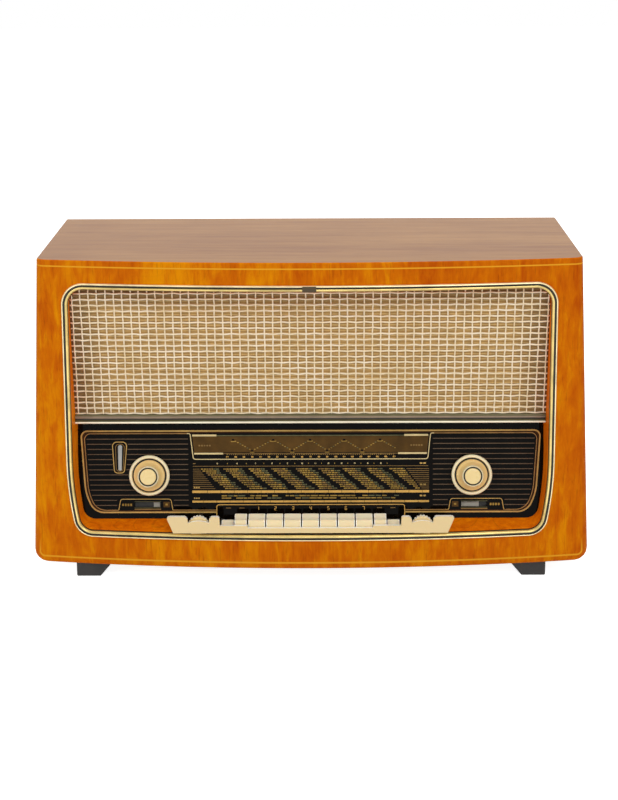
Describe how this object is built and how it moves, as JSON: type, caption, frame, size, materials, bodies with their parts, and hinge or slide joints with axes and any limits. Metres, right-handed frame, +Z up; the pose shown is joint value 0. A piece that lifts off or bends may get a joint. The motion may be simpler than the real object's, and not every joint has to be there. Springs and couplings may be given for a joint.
{
  "type": "tube radio",
  "caption": "Table tube radio with a bowed wooden cabinet, brass-framed recess, tilted dial, woven grille, coaxial knobs, thumbwheels and a piano-key switch.",
  "frame": {"origin": "middle of the footprint's bounding box, on the table top", "axes": "+X to the right as seen from the front, +Y to the back, +Z up; the front faces -Y"},
  "size_m": [0.6586, 0.2938, 0.386],
  "materials": {
    "veneer": "high-gloss lacquer",
    "recess_wood": "high-gloss lacquer",
    "board": "bare",
    "brass": "polished",
    "gilt": "gilded",
    "weave": "woven strands",
    "scale_glass": "printed on its back",
    "tube_glass": "clear",
    "ivory": "polished",
    "cream_gold": "polished",
    "red": "painted",
    "grey": "matt",
    "steel": "zinc plated",
    "bush": "turned",
    "core": "varnished",
    "can": "bright",
    "painted": "satin",
    "socket": "matt",
    "phenolic": "laminate",
    "drum": "moulded",
    "ferrite": "matt",
    "fibreboard": "pressed board",
    "rubber": "matt",
    "screw": "plated"
  },
  "bodies": {
    "cabinet": {"cabinet": "veneer", "reveal_frame": "recess_wood", "brass_frame": "brass", "frame_clip": "brass", "grille_cloth": "weave", "baffle_board": "board", "moulding_bar": "gilt", "dial_glass": "scale_glass", "dial_plate": "steel", "eye_tube": "tube_glass", "shaft_bushes": "bush", "volume_pot": "can", "tone_pots": "can", "key_bezel": "ivory", "key_shaft": "steel", "key_frame": "steel", "key_springs": "steel", "chassis": "steel", "mains_transformer": "core", "filter_capacitor": "can", "tubes": "tube_glass", "tube_sockets": "socket", "if_cans": "can", "gang_frame": "steel", "ferrite_post": "steel", "speakers": "painted", "side_grilles": "ivory", "back_cover": "fibreboard", "socket_panel": "phenolic", "cord_grommet": "rubber", "feet": "rubber", "screws": "screw"},
    "left_ring": {"ring_knob_left": "ivory", "tube_shaft_left": "steel"},
    "left_disc": {"disc_knob_left": "cream_gold", "rod_shaft_left": "steel"},
    "right_ring": {"ring_knob_right": "ivory", "tube_shaft_right": "steel"},
    "right_disc": {"disc_knob_right": "cream_gold", "rod_shaft_right": "steel"},
    "am_pointer": {"am_pointer": "red"},
    "fm_pointer": {"fm_pointer": "red"},
    "gang": {"gang_rotor": "can", "drive_drum": "drum"},
    "aerial": {"ferrite_rod": "ferrite"},
    "bass_wheel": {"bass_wheel": "ivory"},
    "treble_wheel": {"treble_wheel": "ivory"},
    "bass_indicator": {"bass_indicator": "grey"},
    "treble_indicator": {"treble_indicator": "grey"},
    "key_1": {"key_1": "ivory"},
    "key_2": {"key_2": "ivory"},
    "key_3": {"key_3": "ivory"},
    "key_4": {"key_4": "ivory"},
    "key_5": {"key_5": "ivory"},
    "key_6": {"key_6": "ivory"},
    "key_7": {"key_7": "ivory"},
    "side_key_1": {"side_key_1": "ivory"},
    "side_key_2": {"side_key_2": "ivory"},
    "side_key_3": {"side_key_3": "ivory"},
    "side_key_4": {"side_key_4": "ivory"}
  },
  "joints": [
    {"name": "left_ring_turn", "type": "hinge", "parent": "cabinet", "child": "left_ring", "pos_m": [-0.191, -0.08608, 0.11884], "axis": [0, 0.9781, -0.2079], "range_deg": [-85, 85]},
    {"name": "volume_turn", "type": "hinge", "parent": "cabinet", "child": "left_disc", "pos_m": [-0.191, -0.08608, 0.11884], "axis": [0, 0.9781, -0.2079], "range_deg": [-150, 150]},
    {"name": "am_tuning_turn", "type": "hinge", "parent": "cabinet", "child": "right_ring", "pos_m": [0.191, -0.08608, 0.11884], "axis": [0, 0.9781, -0.2079], "range_deg": [0, 2190]},
    {"name": "fm_tuning_turn", "type": "hinge", "parent": "cabinet", "child": "right_disc", "pos_m": [0.191, -0.08608, 0.11884], "axis": [0, 0.9781, -0.2079], "range_deg": [0, 1881]},
    {"name": "am_pointer_slide", "type": "slide", "parent": "cabinet", "child": "am_pointer", "axis": [1, 0, 0], "range_m": [0, 0.2305]},
    {"name": "fm_pointer_slide", "type": "slide", "parent": "cabinet", "child": "fm_pointer", "axis": [1, 0, 0], "range_m": [0, 0.198]},
    {"name": "gang_turn", "type": "hinge", "parent": "cabinet", "child": "gang", "pos_m": [0, -0.0131, 0.15452], "axis": [0, 1, 0], "range_deg": [0, 181]},
    {"name": "aerial_turn", "type": "hinge", "parent": "cabinet", "child": "aerial", "pos_m": [-0.165, 0.0459, 0.11], "axis": [0, 0, 1], "range_deg": [-86, 86]},
    {"name": "bass_turn", "type": "hinge", "parent": "cabinet", "child": "bass_wheel", "pos_m": [-0.131, -0.1361, 0.0716], "axis": [0, 1, 0], "range_deg": [-204, 64]},
    {"name": "treble_turn", "type": "hinge", "parent": "cabinet", "child": "treble_wheel", "pos_m": [0.131, -0.1361, 0.0716], "axis": [0, 1, 0], "range_deg": [-188, 80]},
    {"name": "bass_indicator_slide", "type": "slide", "parent": "cabinet", "child": "bass_indicator", "axis": [1, 0, 0], "range_m": [-0.0229, 0.0073]},
    {"name": "treble_indicator_slide", "type": "slide", "parent": "cabinet", "child": "treble_indicator", "axis": [1, 0, 0], "range_m": [-0.0211, 0.0091]},
    {"name": "key_1_press", "type": "hinge", "parent": "cabinet", "child": "key_1", "pos_m": [0, -0.0481, 0.064], "axis": [1, 0, 0], "range_deg": [0, 5.6], "stiffness_Nm_per_rad": 0.25, "springref_deg": -6.88},
    {"name": "key_2_press", "type": "hinge", "parent": "cabinet", "child": "key_2", "pos_m": [0, -0.0481, 0.064], "axis": [1, 0, 0], "range_deg": [0, 5.6], "stiffness_Nm_per_rad": 0.25, "springref_deg": -6.88},
    {"name": "key_3_press", "type": "hinge", "parent": "cabinet", "child": "key_3", "pos_m": [0, -0.0481, 0.064], "axis": [1, 0, 0], "range_deg": [0, 5.6], "stiffness_Nm_per_rad": 0.25, "springref_deg": -6.88},
    {"name": "key_4_press", "type": "hinge", "parent": "cabinet", "child": "key_4", "pos_m": [0, -0.0481, 0.064], "axis": [1, 0, 0], "range_deg": [0, 5.6], "stiffness_Nm_per_rad": 0.25, "springref_deg": -6.88},
    {"name": "key_5_press", "type": "hinge", "parent": "cabinet", "child": "key_5", "pos_m": [0, -0.0481, 0.064], "axis": [1, 0, 0], "range_deg": [0, 5.6], "stiffness_Nm_per_rad": 0.25, "springref_deg": -6.88},
    {"name": "key_6_press", "type": "hinge", "parent": "cabinet", "child": "key_6", "pos_m": [0, -0.0481, 0.064], "axis": [1, 0, 0], "range_deg": [0, 5.6], "stiffness_Nm_per_rad": 0.25, "springref_deg": -6.88},
    {"name": "key_7_press", "type": "hinge", "parent": "cabinet", "child": "key_7", "pos_m": [0, -0.0481, 0.064], "axis": [1, 0, 0], "range_deg": [0, 5.6], "stiffness_Nm_per_rad": 0.25, "springref_deg": -6.88},
    {"name": "side_key_1_press", "type": "hinge", "parent": "cabinet", "child": "side_key_1", "pos_m": [0, -0.0481, 0.064], "axis": [1, 0, 0], "range_deg": [-5.6, 0]},
    {"name": "side_key_2_press", "type": "hinge", "parent": "cabinet", "child": "side_key_2", "pos_m": [0, -0.0481, 0.064], "axis": [1, 0, 0], "range_deg": [0, 5.6], "stiffness_Nm_per_rad": 0.25, "springref_deg": -6.88},
    {"name": "side_key_3_press", "type": "hinge", "parent": "cabinet", "child": "side_key_3", "pos_m": [0, -0.0481, 0.064], "axis": [1, 0, 0], "range_deg": [0, 5.6], "stiffness_Nm_per_rad": 0.25, "springref_deg": -6.88},
    {"name": "side_key_4_press", "type": "hinge", "parent": "cabinet", "child": "side_key_4", "pos_m": [0, -0.0481, 0.064], "axis": [1, 0, 0], "range_deg": [-5.6, 0]}
  ],
  "couplings": [
    {"joint": "aerial_turn", "follows": "left_ring_turn", "ratio": -1},
    {"joint": "am_pointer_slide", "follows": "am_tuning_turn", "m_per_rad": 0.006},
    {"joint": "gang_turn", "follows": "am_tuning_turn", "ratio": 0.082192},
    {"joint": "fm_pointer_slide", "follows": "fm_tuning_turn", "m_per_rad": 0.006},
    {"joint": "bass_indicator_slide", "follows": "bass_turn", "m_per_rad": 0.0064},
    {"joint": "treble_indicator_slide", "follows": "treble_turn", "m_per_rad": 0.0064}
  ]
}
